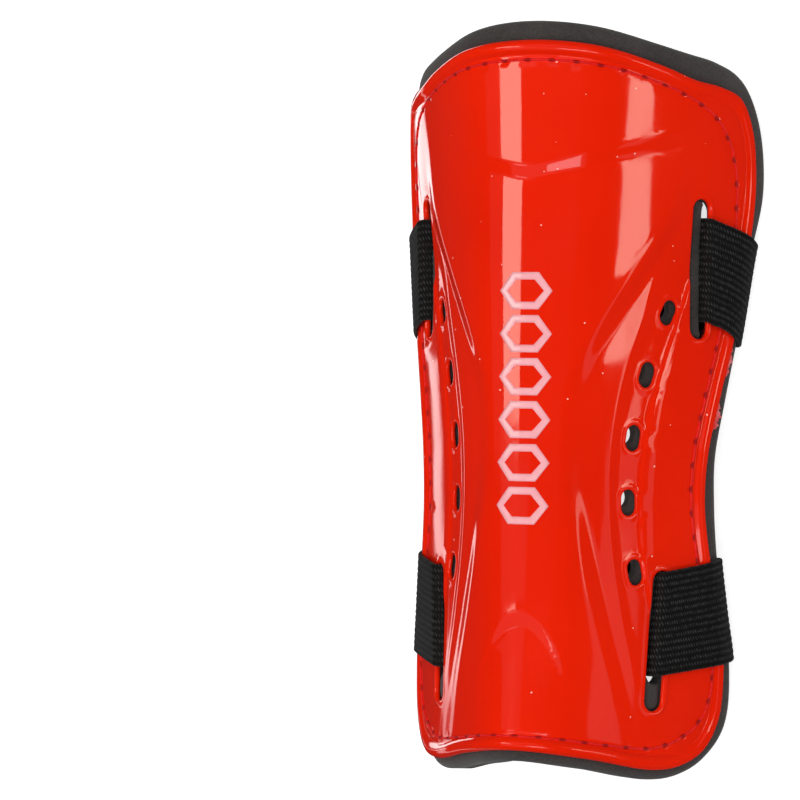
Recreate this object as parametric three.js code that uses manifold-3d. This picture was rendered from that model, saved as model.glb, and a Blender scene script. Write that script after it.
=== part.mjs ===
// A soccer shin guard: a moulded shell sewn to a foam pad, with two elastic straps that pass
// through slots in the shell's wings and run behind the calf.
// Millimetres. X runs across the leg, Y along it with the knee end at +Y, and Z is up, away from
// the leg. The guard lies hollow side down, resting on its straps.

import * as THREE from 'three';
import { mergeVertices } from 'three/addons/utils/BufferGeometryUtils.js';
import Module from 'manifold-3d';

const wasm = await Module();
wasm.setup();

// The form that every layer follows: a round ridge over the shin bone that widens towards the
// knee, and flatter wings on both sides of it.
const RIDGE_RADIUS = 26.2;
const RIDGE_FLARE = 0.105;
const RIDGE_ANGLE = THREE.MathUtils.degToRad(42.2);
const WING_RADIUS = 145;
const WING_FLARE = -0.3;
const RIDGE_HEIGHT = 59.5;
const RIDGE_SLOPE = 0.006;
const RIDGE_BOW = 0.00032;
const MID_LENGTH = 1.12;

// Layers.
const SHELL_WALL = 1.8;
const FOAM_THICKNESS = 5;
const FOAM_EDGE_RADIUS = 2;
const LAYER_GAP = 0.4;
const FOAM_FRONT = -SHELL_WALL - LAYER_GAP;
const FOAM_BACK = FOAM_FRONT - FOAM_THICKNESS;
const BEAD_WIDTH = 4.4;
const BEAD_TOP = 1.3;
const BEAD_SKIRT = 0.1;
const BEAD_BASE = -SHELL_WALL - BEAD_SKIRT;
const PLATE_INSET = 1.6;

// Edge of the shell on the flat pattern, from the knee end round one side to the ankle end, and
// how far the foam stands out past it, which is less where the straps press on it. Across is
// measured along the skin from the ridge.
const EDGE = [
  { across: 0, along: 99.5, foam: 5.7 },
  { across: 20, along: 98.2, foam: 5.7 },
  { across: 40, along: 94, foam: 6.2 },
  { across: 52, along: 90.8, foam: 6.8 },
  { across: 61.5, along: 89.6, foam: 7 },
  { across: 69.2, along: 86, foam: 7 },
  { across: 74.4, along: 77, foam: 8 },
  { across: 76.2, along: 62, foam: 8 },
  { across: 74.4, along: 44, foam: 5 },
  { across: 69.8, along: 21, foam: 4.6 },
  { across: 64.2, along: 2, foam: 5.4 },
  { across: 60, along: -15, foam: 6 },
  { across: 59.4, along: -29, foam: 6.8 },
  { across: 62, along: -44, foam: 6 },
  { across: 67, along: -61, foam: 4.6 },
  { across: 69.3, along: -77, foam: 6 },
  { across: 68, along: -91, foam: 6.4 },
  { across: 62.5, along: -99.5, foam: 4.2 },
  { across: 54, along: -103.6, foam: 3.3 },
  { across: 44, along: -104.4, foam: 3 },
  { across: 22, along: -100.8, foam: 3.1 },
  { across: 0, along: -98.5, foam: 3.2 },
];

// Relief of the shell, a row for each section: how far out lie the foot of the raised panel, the
// outer edge of the rib beside it and the middle of the vent groove, and the height of the step
// down from the panel, down from the rib, and up again to the wing.
const RELIEF = [
  { along: 112, panel: 36, rib: 43, vents: 52, panelStep: 0, ribStep: 0, wingStep: 0 },
  { along: 72, panel: 44, rib: 50, vents: 57, panelStep: 0, ribStep: 0, wingStep: 0 },
  { along: 50, panel: 46, rib: 51, vents: 57, panelStep: 0.4, ribStep: 0, wingStep: 0 },
  { along: 30, panel: 33.5, rib: 40, vents: 47, panelStep: 1.2, ribStep: 0.6, wingStep: 0.6 },
  { along: 10, panel: 20, rib: 28.8, vents: 38.5, panelStep: 1.4, ribStep: 1, wingStep: 0.9 },
  { along: -12, panel: 15.5, rib: 25.8, vents: 33.1, panelStep: 1.4, ribStep: 1, wingStep: 0.9 },
  { along: -35, panel: 19.7, rib: 26.5, vents: 32.8, panelStep: 1.4, ribStep: 0.9, wingStep: 0.9 },
  { along: -60, panel: 26.5, rib: 31, vents: 37.5, panelStep: 1.1, ribStep: 0.3, wingStep: 0.4 },
  { along: -85, panel: 34.2, rib: 38, vents: 44, panelStep: 0.4, ribStep: 0, wingStep: 0 },
  { along: -112, panel: 40, rib: 45, vents: 51, panelStep: 0, ribStep: 0, wingStep: 0 },
];
const PANEL_SHOULDER = 4.5;
const SHOULDER_SHARE = 1 / 6;
const RIB_CROWN = 0.3;
const GROOVE_HALF = 3.6;
const GROOVE_EDGE = 1.3;
const OUTER_COLUMN = 86;
// How the wing fades from the groove's outer edge to the skin: share of its width, share of its depth.
const WING_FADE = [
  { width: 0, depth: 1 },
  { width: 1 / 3, depth: 1 / 2 },
  { width: 2 / 3, depth: 0 },
  { width: 1, depth: 0 },
];

// Arched brow near the ankle: a ridge that swells gently on the knee side and drops sharply on the
// ankle side, fading out along its two legs.
const BROW = { apex: -59.5, spread: 15, fall: 14, height: 1.5, above: 10, below: 2.6, fade: 2 / 3 };

// Vents, on the middle of the groove.
const VENT_WIDTH = 4.8;
const VENT_LENGTH = 7.4;
const VENTS = [
  { across: 44.5, along: 24.6 },
  { across: 37.3, along: 6.8 },
  { across: 33.3, along: -10.8 },
  { across: 32.4, along: -29 },
  { across: 35.2, along: -48.6 },
];
const GROOVE_LEAN = 100;
const GROOVE_WAIST = -25;
const FOAM_HOLE_RADIUS = 2.9;
const FOAM_HOLE_SHIFT = { across: -0.9, along: 1.2 };

// Straps and the slots that they pass through.
const SLOT_WIDTH = 6;
const STRAP_WIDTH = 29.5;
const STRAP_THICKNESS = 1.5;
const TAB_GAP = 0.3;
const STRAPS = [
  { name: 'strap_upper', slotTop: [55.6, 57.5], slotEnd: [55.4, 17.8], along: 36.5, drift: -5.5 },
  { name: 'strap_lower', slotTop: [45, -47.6], slotEnd: [42.9, -87.8], along: -63.2, drift: 5 },
];
// The strap's way on the skin: places measured out from the slot or from the foam's rim.
const OUTER_LAYER = [
  { rim: false, by: 0, out: -5 },
  { rim: false, by: 0, out: -0.8 },
  { rim: false, by: 0.9, out: 1 },
  { rim: false, by: 3, out: 1.5 },
  { rim: true, by: -12.5, out: 2.8 },
  { rim: true, by: -7.5, out: 2.8 },
  { rim: true, by: -2.3, out: 0.6 },
  { rim: true, by: 0.4, out: -1.6 },
  { rim: true, by: 1.4, out: -4.2 },
  { rim: true, by: 1, out: -6.6 },
];
const RETURN_LAYER = [
  { rim: true, by: -4.5, out: -8.7 },
  { rim: true, by: -9, out: -8.5 },
  { rim: false, by: 4, out: -8.5 },
  { rim: false, by: 1.2, out: -8.3 },
  { rim: false, by: 0.1, out: -6.6 },
];
// The strap's way behind the calf: places measured in from the fold at the rim.
const SPAN_LEAD = { inward: 6, sink: 0.7 };
const SPAN_FLAT = 16;
const TAB_FROM = 17;
const TAB_TO = 33;

// Facets.
const EDGE_POINTS = 92;
const BEAD_SIDES = 5;
const ROW_STEP = 10.5;
const FINE_ROW_STEP = 3.2;
const FINE_ROWS = { from: -80, to: -49 };
const SHELL_PANEL_CELLS = 4;
const FOAM_PANEL_CELLS = 2;
const WIDTH_CELLS = 4;
const ROUND_SEGMENTS = 4;
const FOAM_EDGE_SEGMENTS = 2;
const FOAM_EDGE_OVERSHOOT = 0.02;
const CUT_REACH = 20;
const MERGE_DISTANCE = 1e-4;
// A plain ring that is moved vertex by vertex into the bead.
const RING = { radius: 2, tube: 1 };

const FINISHES = {
  shell: { color: 0xe6270e, roughness: 0.15 },
  foam: { color: 0x4b4746, roughness: 0.9 },
  strap: { color: 0x191919, roughness: 0.85 },
};

// Place on the curved guard of a point on the flat pattern, a distance out from the skin.
function bend(across, along, out) {
  const reach = Math.abs(across);
  const radius = RIDGE_RADIUS + RIDGE_FLARE * along;
  const ridgeArc = radius * RIDGE_ANGLE;
  const ridgeTurn = Math.min(reach, ridgeArc) / radius;
  const wingRadius = WING_RADIUS + WING_FLARE * along;
  const turn = ridgeTurn + Math.max(reach - ridgeArc, 0) / wingRadius;
  const aside = radius * Math.sin(ridgeTurn) + wingRadius * (Math.sin(turn) - Math.sin(ridgeTurn));
  const drop = radius * (1 - Math.cos(ridgeTurn)) + wingRadius * (Math.cos(ridgeTurn) - Math.cos(turn));
  const ridge = RIDGE_HEIGHT + RIDGE_SLOPE * along + RIDGE_BOW * along * along;
  return new THREE.Vector3(
    Math.sign(across) * (aside + out * Math.sin(turn)),
    along + MID_LENGTH,
    ridge - drop + out * Math.cos(turn),
  );
}

// Moves every vertex of a geometry and merges those that then meet.
function warped(geometry, place) {
  const shape = geometry.clone();
  const position = shape.getAttribute('position');
  const point = new THREE.Vector3();
  for (let i = 0; i < position.count; i += 1) {
    point.fromBufferAttribute(position, i);
    const moved = place(point);
    position.setXYZ(i, moved.x, moved.y, moved.z);
  }
  shape.deleteAttribute('normal');
  shape.deleteAttribute('uv');
  return mergeVertices(shape, MERGE_DISTANCE);
}

function solid(geometry) {
  return new wasm.Manifold(new wasm.Mesh({
    numProp: 3,
    vertProperties: new Float32Array(geometry.getAttribute('position').array),
    triVerts: new Uint32Array(geometry.getIndex().array),
  }));
}

function geometryOf(body) {
  const mesh = body.getMesh();
  const geometry = new THREE.BufferGeometry();
  geometry.setAttribute('position', new THREE.BufferAttribute(mesh.vertProperties, 3));
  geometry.setIndex(new THREE.BufferAttribute(mesh.triVerts, 1));
  return geometry;
}

// A solid made on the flat pattern, bent to the guard's form.
function bent(body) {
  return warped(geometryOf(body), (point) => bend(point.x, point.y, point.z));
}

// Edge of the guard

function edgeCurve() {
  const half = EDGE.map((row) => new THREE.Vector3(row.across, row.along, row.foam));
  const other = half.slice(1, -1).reverse().map((point) => new THREE.Vector3(-point.x, point.y, point.z));
  return new THREE.CatmullRomCurve3([...half, ...other], true, 'centripetal');
}

const EDGE_LOOP = edgeCurve().getSpacedPoints(EDGE_POINTS).slice(0, EDGE_POINTS);

// The edge moved out by a distance that may change from place to place.
function edgeMoved(distance) {
  return EDGE_LOOP.map((point, i) => {
    const before = EDGE_LOOP[(i + EDGE_POINTS - 1) % EDGE_POINTS];
    const after = EDGE_LOOP[(i + 1) % EDGE_POINTS];
    const outward = new THREE.Vector2(before.y - after.y, after.x - before.x).normalize();
    return new THREE.Vector2(point.x, point.y).addScaledVector(outward, distance(point));
  });
}

const FOAM_LOOP = edgeMoved((point) => point.z);

// How far out the foam's rim lies at a place along the guard's side.
function rimAt(along) {
  let rim = 0;
  FOAM_LOOP.forEach((point, i) => {
    const next = FOAM_LOOP[(i + 1) % EDGE_POINTS];
    const share = (along - point.y) / (next.y - point.y);
    if (share >= 0 && share <= 1) {
      rim = Math.max(rim, THREE.MathUtils.lerp(point.x, next.x, share));
    }
  });
  return rim;
}

// Relief

const RELIEF_COLUMNS = ['panel', 'rib', 'vents', 'panelStep', 'ribStep', 'wingStep'];
const RELIEF_ROWS = [...RELIEF].reverse();
const RELIEF_SPLINE = new THREE.CubicInterpolant(
  RELIEF_ROWS.map((row) => row.along),
  RELIEF_ROWS.flatMap((row) => RELIEF_COLUMNS.map((column) => row[column])),
  RELIEF_COLUMNS.length,
);

function reliefAt(along) {
  const values = RELIEF_SPLINE.evaluate(along);
  return Object.fromEntries(RELIEF_COLUMNS.map((column, i) => [column, values[i]]));
}

// Rise of the brow above the panel.
function browRise(across, along) {
  const reach = Math.abs(across) / BROW.spread;
  const offset = along - (BROW.apex - BROW.fall * reach * reach);
  const slope = offset > 0 ? 1 - offset / BROW.above : 1 + offset / BROW.below;
  const fade = THREE.MathUtils.clamp((1 - reach) / BROW.fade, 0, 1);
  return BROW.height * fade * Math.max(slope, 0);
}

// Even columns from the ridge to the panel's shoulder, where the relief starts.
function panelColumns(shoulder, cells) {
  return Array.from({ length: cells }, (_, i) => ({ across: shoulder * i / cells, depth: 0 }));
}

function wingColumns(from, depth) {
  return WING_FADE.map((step) => ({
    across: THREE.MathUtils.lerp(from, OUTER_COLUMN, step.width),
    depth: depth * step.depth,
  }));
}

// Columns of the shell at one section: how far out each lies, and how far below the skin.
function shellColumns(along) {
  const row = reliefAt(along);
  const shoulder = row.panel - PANEL_SHOULDER;
  const floor = row.panelStep + row.ribStep;
  return [
    ...panelColumns(shoulder, SHELL_PANEL_CELLS),
    { across: shoulder, depth: row.panelStep * SHOULDER_SHARE },
    { across: row.panel, depth: row.panelStep },
    { across: (row.panel + row.rib) / 2, depth: row.panelStep - RIB_CROWN * row.ribStep },
    { across: row.rib, depth: row.panelStep },
    { across: row.vents - GROOVE_HALF, depth: floor },
    { across: row.vents + GROOVE_HALF, depth: floor },
    ...wingColumns(row.vents + GROOVE_HALF + GROOVE_EDGE, floor - row.wingStep),
  ];
}

// Columns of the foam's front, which is pressed to the shell but follows less of its relief.
function foamColumns(along) {
  const row = reliefAt(along);
  const shoulder = row.panel - PANEL_SHOULDER;
  const floor = row.panelStep + row.ribStep;
  return [
    ...panelColumns(shoulder, FOAM_PANEL_CELLS),
    { across: shoulder, depth: row.panelStep * SHOULDER_SHARE },
    { across: row.panel, depth: row.panelStep },
    { across: row.vents - GROOVE_HALF, depth: floor },
    ...wingColumns(row.vents + GROOVE_HALF + GROOVE_EDGE, floor),
  ];
}

// Sections along the guard, closer together where the brow is.
function sectionRows() {
  const end = RELIEF[0].along;
  const rows = [];
  let along = -end;
  while (along < end) {
    rows.push(along);
    const fine = along >= FINE_ROWS.from && along < FINE_ROWS.to;
    along += fine ? FINE_ROW_STEP : ROW_STEP;
  }
  return [...rows, end];
}

const ROWS = sectionRows();

// A sheet on the flat pattern whose grid follows the relief; surface gives its two faces.
function sheet(columns, surface) {
  const grid = ROWS.map(columns);
  const side = grid[0].length - 1;
  const box = new THREE.BoxGeometry(1, 1, 1, 2 * side, ROWS.length - 1, 1);
  return solid(warped(box, (point) => {
    const column = Math.round((point.x + 0.5) * 2 * side) - side;
    const rowIndex = Math.round((point.y + 0.5) * (ROWS.length - 1));
    const { across, depth } = grid[rowIndex][Math.abs(column)];
    const along = ROWS[rowIndex];
    return new THREE.Vector3(Math.sign(column) * across, along, surface(point.z > 0, across, along, depth));
  }));
}

// Cutters on the flat pattern

function prism(shape, low, high, options = {}) {
  const geometry = new THREE.ExtrudeGeometry(shape, {
    depth: high - low,
    curveSegments: ROUND_SEGMENTS,
    bevelEnabled: false,
    ...options,
  });
  return solid(warped(geometry, (point) => point.setZ(point.z + low)));
}

function oblong(width, length) {
  const radius = width / 2;
  const straight = length / 2 - radius;
  const shape = new THREE.Shape();
  shape.absarc(0, straight, radius, 0, Math.PI, false);
  shape.absarc(0, -straight, radius, Math.PI, 2 * Math.PI, false);
  shape.closePath();
  return shape;
}

function turnedShape(shape, across, along, angle) {
  const points = shape.getPoints(ROUND_SEGMENTS);
  return new THREE.Shape(points.map((point) => (
    point.rotateAround(new THREE.Vector2(0, 0), angle).add(new THREE.Vector2(across, along))
  )));
}

function hole(shape) {
  return prism(shape, -CUT_REACH, CUT_REACH);
}

const SIDES = [-1, 1];

function slotHoles() {
  return STRAPS.flatMap((strap) => SIDES.map((side) => {
    const top = new THREE.Vector2(...strap.slotTop);
    const end = new THREE.Vector2(...strap.slotEnd);
    const middle = top.clone().add(end).divideScalar(2);
    const lean = Math.atan2(top.x - end.x, top.y - end.y);
    const shape = oblong(SLOT_WIDTH, top.distanceTo(end));
    return hole(turnedShape(shape, side * middle.x, middle.y, -side * lean));
  }));
}

function ventHoles() {
  return VENTS.flatMap((vent) => SIDES.map((side) => {
    const lean = Math.atan((vent.along - GROOVE_WAIST) / GROOVE_LEAN);
    return hole(turnedShape(oblong(VENT_WIDTH, VENT_LENGTH), side * vent.across, vent.along, -side * lean));
  }));
}

function foamHoles() {
  return VENTS.flatMap((vent) => SIDES.map((side) => {
    const across = side * (vent.across + FOAM_HOLE_SHIFT.across);
    const circle = new THREE.Shape().absarc(0, 0, FOAM_HOLE_RADIUS, 0, 2 * Math.PI, false);
    return hole(turnedShape(circle, across, vent.along + FOAM_HOLE_SHIFT.along, 0));
  }));
}

function cutAll(body, cutters) {
  return cutters.reduce((rest, cutter) => rest.subtract(cutter), body);
}

// Shell

// Rolled bead: a round-topped rail that runs along the shell's edge.
function bead() {
  const torus = new THREE.TorusGeometry(RING.radius, RING.tube, BEAD_SIDES + 1, EDGE_POINTS);
  const loops = [];
  for (let j = 0; j <= BEAD_SIDES; j += 1) {
    const turn = Math.PI * j / BEAD_SIDES;
    const inset = BEAD_WIDTH * (1 - Math.cos(turn)) / 2;
    const height = BEAD_BASE + (BEAD_TOP - BEAD_BASE) * Math.sin(turn);
    loops.push({ points: edgeMoved(() => -inset), height });
  }
  return solid(warped(torus, (point) => {
    const round = Math.atan2(point.y, point.x);
    const turn = Math.atan2(point.z, Math.hypot(point.x, point.y) - RING.radius);
    const i = Math.round(round / (2 * Math.PI) * EDGE_POINTS + EDGE_POINTS) % EDGE_POINTS;
    const j = Math.round(turn / (2 * Math.PI) * (BEAD_SIDES + 1) + BEAD_SIDES + 1) % (BEAD_SIDES + 1);
    const { points, height } = loops[j];
    const place = points[(EDGE_POINTS - i) % EDGE_POINTS];
    return new THREE.Vector3(place.x, place.y, height);
  }));
}

function shell() {
  const plate = sheet(shellColumns, (front, across, along, depth) => (
    browRise(across, along) - depth - (front ? 0 : SHELL_WALL)
  ));
  const outline = prism(new THREE.Shape(edgeMoved(() => -PLATE_INSET)), -CUT_REACH, CUT_REACH);
  const whole = plate.intersect(outline).add(bead());
  return bent(cutAll(whole, [...slotHoles(), ...ventHoles()]));
}

// Foam

function foam() {
  const slab = sheet(foamColumns, (front, across, along, depth) => (
    front ? FOAM_FRONT - depth : FOAM_BACK
  ));
  const outline = prism(
    new THREE.Shape(FOAM_LOOP),
    FOAM_BACK + FOAM_EDGE_RADIUS,
    FOAM_FRONT - FOAM_EDGE_RADIUS,
    {
      bevelEnabled: true,
      bevelThickness: FOAM_EDGE_RADIUS + FOAM_EDGE_OVERSHOOT,
      bevelSize: FOAM_EDGE_RADIUS,
      bevelOffset: -FOAM_EDGE_RADIUS,
      bevelSegments: FOAM_EDGE_SEGMENTS,
    },
  );
  return bent(cutAll(slab.intersect(outline), [...slotHoles(), ...foamHoles()]));
}

// Straps

// A band of even thickness; lineAt gives its middle line at one place across the strap's width.
function band(lineAt) {
  const lines = [];
  for (let j = 0; j <= WIDTH_CELLS; j += 1) {
    lines.push(lineAt(STRAP_WIDTH * (j / WIDTH_CELLS - 0.5)));
  }
  const last = lines[0].length - 1;
  const at = (i, j) => lines[THREE.MathUtils.clamp(j, 0, WIDTH_CELLS)][THREE.MathUtils.clamp(i, 0, last)];
  const box = new THREE.BoxGeometry(1, 1, 1, WIDTH_CELLS, last, 1);
  return warped(box, (point) => {
    const j = Math.round((point.x + 0.5) * WIDTH_CELLS);
    const i = Math.round((point.y + 0.5) * last);
    const sideways = at(i, j + 1).clone().sub(at(i, j - 1));
    const ahead = at(Math.min(i + 1, last), j).clone().sub(at(i, j)).normalize();
    const behind = at(i, j).clone().sub(at(Math.max(i - 1, 0), j)).normalize();
    const normal = sideways.cross(ahead.add(behind)).normalize();
    return at(i, j).clone().addScaledVector(normal, point.z * STRAP_THICKNESS);
  });
}

// How far out the middle of a strap's slot lies at a place along it.
function slotAt(strap, along) {
  const [topAcross, topAlong] = strap.slotTop;
  const [endAcross, endAlong] = strap.slotEnd;
  return THREE.MathUtils.mapLinear(along, endAlong, topAlong, endAcross, topAcross);
}

// Points of a strap's layer on one side of the guard.
function layerLine(strap, layer, width) {
  const start = strap.along + width;
  const slot = slotAt(strap, start);
  const reach = rimAt(start + strap.drift) - slot;
  return layer.map((row) => {
    const share = THREE.MathUtils.clamp(row.by / reach + (row.rim ? 1 : 0), 0, 1);
    const along = start + strap.drift * share;
    const from = row.rim ? rimAt(along) : slot;
    return bend(from + row.by, along, row.out);
  });
}

const FLAT_LEVEL = STRAP_THICKNESS / 2;

// Outer layer from the slot to the rim, then the span along the floor to the flat of the back.
function outerLine(strap, width) {
  const line = layerLine(strap, OUTER_LAYER, width);
  const fold = line[line.length - 1];
  const lift = Math.max(fold.z - FLAT_LEVEL, 0);
  line.push(new THREE.Vector3(fold.x - SPAN_LEAD.inward, fold.y, FLAT_LEVEL + lift * (1 - SPAN_LEAD.sink)));
  line.push(new THREE.Vector3(fold.x - SPAN_FLAT, fold.y, FLAT_LEVEL));
  return line;
}

// Return layer, from the tab that is sewn to the span up behind the foam to the slot.
function returnLine(strap, width) {
  const fold = layerLine(strap, OUTER_LAYER, width).pop();
  const tabLevel = FLAT_LEVEL + STRAP_THICKNESS + TAB_GAP;
  return [
    new THREE.Vector3(fold.x - TAB_TO, fold.y, tabLevel),
    new THREE.Vector3(fold.x - TAB_FROM, fold.y, tabLevel),
    ...layerLine(strap, RETURN_LAYER, width),
  ];
}

// One band from the tab on one side to the tab on the other.
function strap(row) {
  return band((width) => {
    const line = [...returnLine(row, width), ...outerLine(row, width)];
    const other = line.map((point) => new THREE.Vector3(-point.x, point.y, point.z));
    return [...line, ...other.reverse()];
  });
}

// Whole guard

function piece(name, geometry, finish) {
  const mesh = new THREE.Mesh(geometry, new THREE.MeshStandardMaterial({ ...finish, metalness: 0 }));
  mesh.name = name;
  return mesh;
}

const guard = new THREE.Group();
guard.add(piece('shell', shell(), FINISHES.shell));
guard.add(piece('foam_pad', foam(), FINISHES.foam));
STRAPS.forEach((row) => guard.add(piece(row.name, strap(row), FINISHES.strap)));

export default guard;
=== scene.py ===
import math

import bmesh
import bpy
import numpy as np
from mathutils import Matrix, Vector
from mathutils.geometry import delaunay_2d_cdt


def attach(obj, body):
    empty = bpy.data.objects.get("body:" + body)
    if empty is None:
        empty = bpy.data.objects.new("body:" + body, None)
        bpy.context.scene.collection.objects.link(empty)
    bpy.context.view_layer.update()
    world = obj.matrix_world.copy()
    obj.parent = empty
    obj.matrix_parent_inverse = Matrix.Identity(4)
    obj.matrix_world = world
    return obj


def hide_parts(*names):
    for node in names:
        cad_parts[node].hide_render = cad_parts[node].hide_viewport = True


# A soccer shin guard. Every layer is drawn on a flat pattern in millimetres: across the shin, along
# it with the knee end positive, and out from the plain skin. The pattern is then bent to the form
# that the frame has, and scaled to metres.

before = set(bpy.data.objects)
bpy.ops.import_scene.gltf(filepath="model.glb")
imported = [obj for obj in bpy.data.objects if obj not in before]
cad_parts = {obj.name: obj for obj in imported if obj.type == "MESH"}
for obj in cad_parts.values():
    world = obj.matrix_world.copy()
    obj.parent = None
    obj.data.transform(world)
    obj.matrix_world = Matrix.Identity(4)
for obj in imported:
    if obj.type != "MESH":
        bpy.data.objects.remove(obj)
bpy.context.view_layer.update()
MM = 0.001


def make_table(columns, *rows):
    """Rows of numbers with named columns."""
    return np.array(list(rows), dtype=[(name, float) for name in columns.split()])


# The form that every layer follows
RIDGE_RADIUS = 26.2
RIDGE_FLARE = 0.105
RIDGE_ANGLE = math.radians(42.2)
RIDGE_BLEND = 5.0
WING_RADIUS = 145.0
WING_FLARE = -0.3
RIDGE_HEIGHT = 59.5
RIDGE_SLOPE = 0.006
RIDGE_BOW = 0.00032
MID_LENGTH = 1.12

# Layers
SHELL_WALL = 1.8
FOAM_FRONT = -2.2
FOAM_BACK = -7.2
FOAM_EDGE_RADIUS = 2.4
# How the foam swells into a slot: its rise, and how far inside the slot it starts and is full
FOAM_SWELL = dict(rise=1.3, start=-0.1, full=-1.0)
# Openings in the foam: distance from the opening's edge, share of the way through
FOAM_WALL = ((0.2, 0.03), (0, 0.12), (0, 0.88), (0.2, 0.97))

# Edge of the shell from the knee end to the ankle end, and how far the foam stands out past it
EDGE = make_table(
    "across along foam",
    (0, 99.5, 5.7), (20, 98.2, 5.7), (40, 94, 6.4), (52, 90.8, 7.6), (61.5, 89.6, 7.4), (70, 86.8, 7.1),
    (75.4, 77.5, 7.8), (77, 62, 8), (74.6, 44, 5), (69.8, 21, 4.6), (64.2, 2, 5.4), (60, -15, 6),
    (59.4, -29, 6.8), (62, -44, 6), (67, -61, 4.6), (69.3, -77, 6), (68, -91, 6.4), (62.5, -99.5, 4.2),
    (54, -103.6, 3.3), (44, -104.4, 3), (22, -100.8, 3.1), (0, -98.5, 3.2),
)
EDGE_POINTS = 640

# Bead round the shell, from its inner foot over the top and under: inset from the edge, rise
BEAD = make_table(
    "inset rise",
    (5.8, 0), (5.2, -0.06), (4.7, -0.16), (4.3, -0.1), (3.95, 0.2), (3.55, 0.66), (3.05, 1.03), (2.5, 1.25),
    (1.95, 1.3), (1.4, 1.2), (0.85, 0.88), (0.4, 0.35), (0.1, -0.35), (0, -1.05), (0.15, -1.6), (0.6, -1.9),
    (2, -1.9), (5.8, -1.8),
)
# Share of the bead's rise that is left under a strap, and how far inside and outside the strap's edge it
# changes. Share that is left on the long sides, and how far out these start and are full.
BEAD_PRESSED = dict(share=0.3, inside=2.5, outside=0.5)
BEAD_SIDE = dict(share=0.55, start=50.0, full=64.0)
# Part of the rim that is the guard's side
RIM_SIDE = dict(across=50.0, along=95.0)

# Relief: foot of the raised panel, outer edge of the rib, middle of the vent groove, and the steps
RELIEF = make_table(
    "along panel rib vents panel_step rib_step wing_step",
    (-112, 40, 45, 51, 0, 0, 0),
    (-85, 34.2, 38, 44, 0.3, 0, 0),
    (-60, 26.5, 31, 37.5, 0.8, 0.25, 0.35),
    (-35, 19.7, 26.5, 33.1, 1, 0.6, 0.6),
    (-12, 16.4, 25.8, 33.6, 0.9, 0.6, 0.6),
    (10, 20.6, 30.3, 39, 1.05, 0.55, 0.55),
    (24, 29.4, 36, 44.6, 1.45, 0.6, 0.6),
    (37, 38.8, 40.7, 49.5, 1.7, 0.4, 0.5),
    (54, 50, 53, 58, 1.1, 0, 0),
    (72, 54, 57, 61, 0.2, 0, 0),
    (112, 54, 57, 61, 0, 0, 0),
)
PANEL_SHOULDER = 6.8
PANEL_FOOT = 1.2
GROOVE_HALF = 3.2
GROOVE_EDGE = 1.5
WING_FADE = 0.67
OUTER_COLUMN = 86.0

# Arched brow near the ankle, and the shallow crease that crosses the panel near the knee
BROW = dict(apex=-59.5, spread=15.5, fall=20.0, swell=0.1, above=6.0, drop=0.75, below=4.2, power=1.4,
            toe=0.1, toe_length=3.4, recovery=48.0, fade=0.6)
CREASE = dict(apex=62.0, rise=0.255, tip=3.0, depth=0.85, width=5.2, length=36.0)
# Stretches across the guard over which the crease fades, on the left and on the right
CREASE_FADE = ((-36.0, -14.0), (42.0, 60.0))

# Vents and slots
VENT_WIDTH = 4.8
VENT_LENGTH = 7.4
# Middle of each vent, and where the foam's hole lies beside it
VENTS = make_table(
    "across along hole_across hole_along",
    (45.1, 24.9, -0.9, 1.2), (37.9, 7.1, -2.2, 1.6), (33.9, -10.8, -0.9, 1.2), (33, -29, -1.1, 1.4),
    (35.9, -48.6, -0.9, 1.2),
)
GROOVE_LEAN = 100.0
GROOVE_WAIST = -25.0
FOAM_HOLE_RADIUS = 2.9
SLOT_WIDTH = 6.0
# Raised lip round each opening: distance from the opening's edge, rise of its face, drop of its wall
LIP = make_table(
    "away rise drop",
    (2.2, 0, 0), (1.8, 0.06, 0), (1.4, 0.2, 0), (1, 0.3, 0), (0.6, 0.28, 0), (0.28, 0.16, 0), (0.06, 0, 0.12),
    (0, 0, 0.45), (0, 0, 0.85), (0.35, 0, 1.2), (1.1, 0, 1.6), (2.2, 0, 1.8),
)
VENT_LIP = 0.4
# Share of the lip round a slot, and how far its side faces out where the lip starts and is full
SLOT_LIP = dict(least=0.1, most=1.5, start=0.1, full=0.9)

# Straps
STRAP_WIDTH = 29.5
STRAP_THICKNESS = 1.2
STRAP_RIBS = 16
RIB_DEPTH = 0.16
RIB_ROUND = 0.7
RIB_SAMPLES = 6
SELVEDGE = 0.45
KNIT_PITCH = 0.8
TAB_GAP = 0.3
# Seat is how far out of the slot's middle the strap passes. The foam's own slot lies further out, and the
# lower one is cut short at its ankle end.
STRAPS = (
    dict(node="strap_upper", slot_top=(55.6, 57.5), slot_end=(55.4, 17.8), along=37.5, drift=-6.5,
         seat=1.5, foam_slot=dict(shift=4.3, width=6.6, cut=0.0)),
    dict(node="strap_lower", slot_top=(45.0, -48.2), slot_end=(42.9, -87.8), along=-63.2, drift=3.9,
         seat=-1.2, foam_slot=dict(shift=1.4, width=6.4, cut=7.4)),
)
# The strap's way on the pattern: 1 from the foam's rim or 0 from the slot, by how much, and how far out
OUTER_LAYER = make_table(
    "rim by out",
    (0, 0, -5), (0, 0, -0.8), (0, 0.8, 0.7), (0, 2.8, 0.9), (1, -12.5, 1.1), (1, -7.5, 1.05),
    (1, -2.3, -0.7), (1, 0.1, -2.4), (1, 0.8, -4.2), (1, 0.6, -6.6),
)
RETURN_LAYER = make_table(
    "rim by out",
    (1, -4.5, -8.5), (1, -9, -8.3), (0, 4, -8.3), (0, 1.2, -8.1), (0, 0.1, -6.6),
)
SPAN_LEAD = dict(inward=6.0, sink=0.7)
SPAN_FLAT = 16.0
TAB_FROM = 17.0
TAB_TO = 33.0
STRAP_STEP = 1.1

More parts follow.
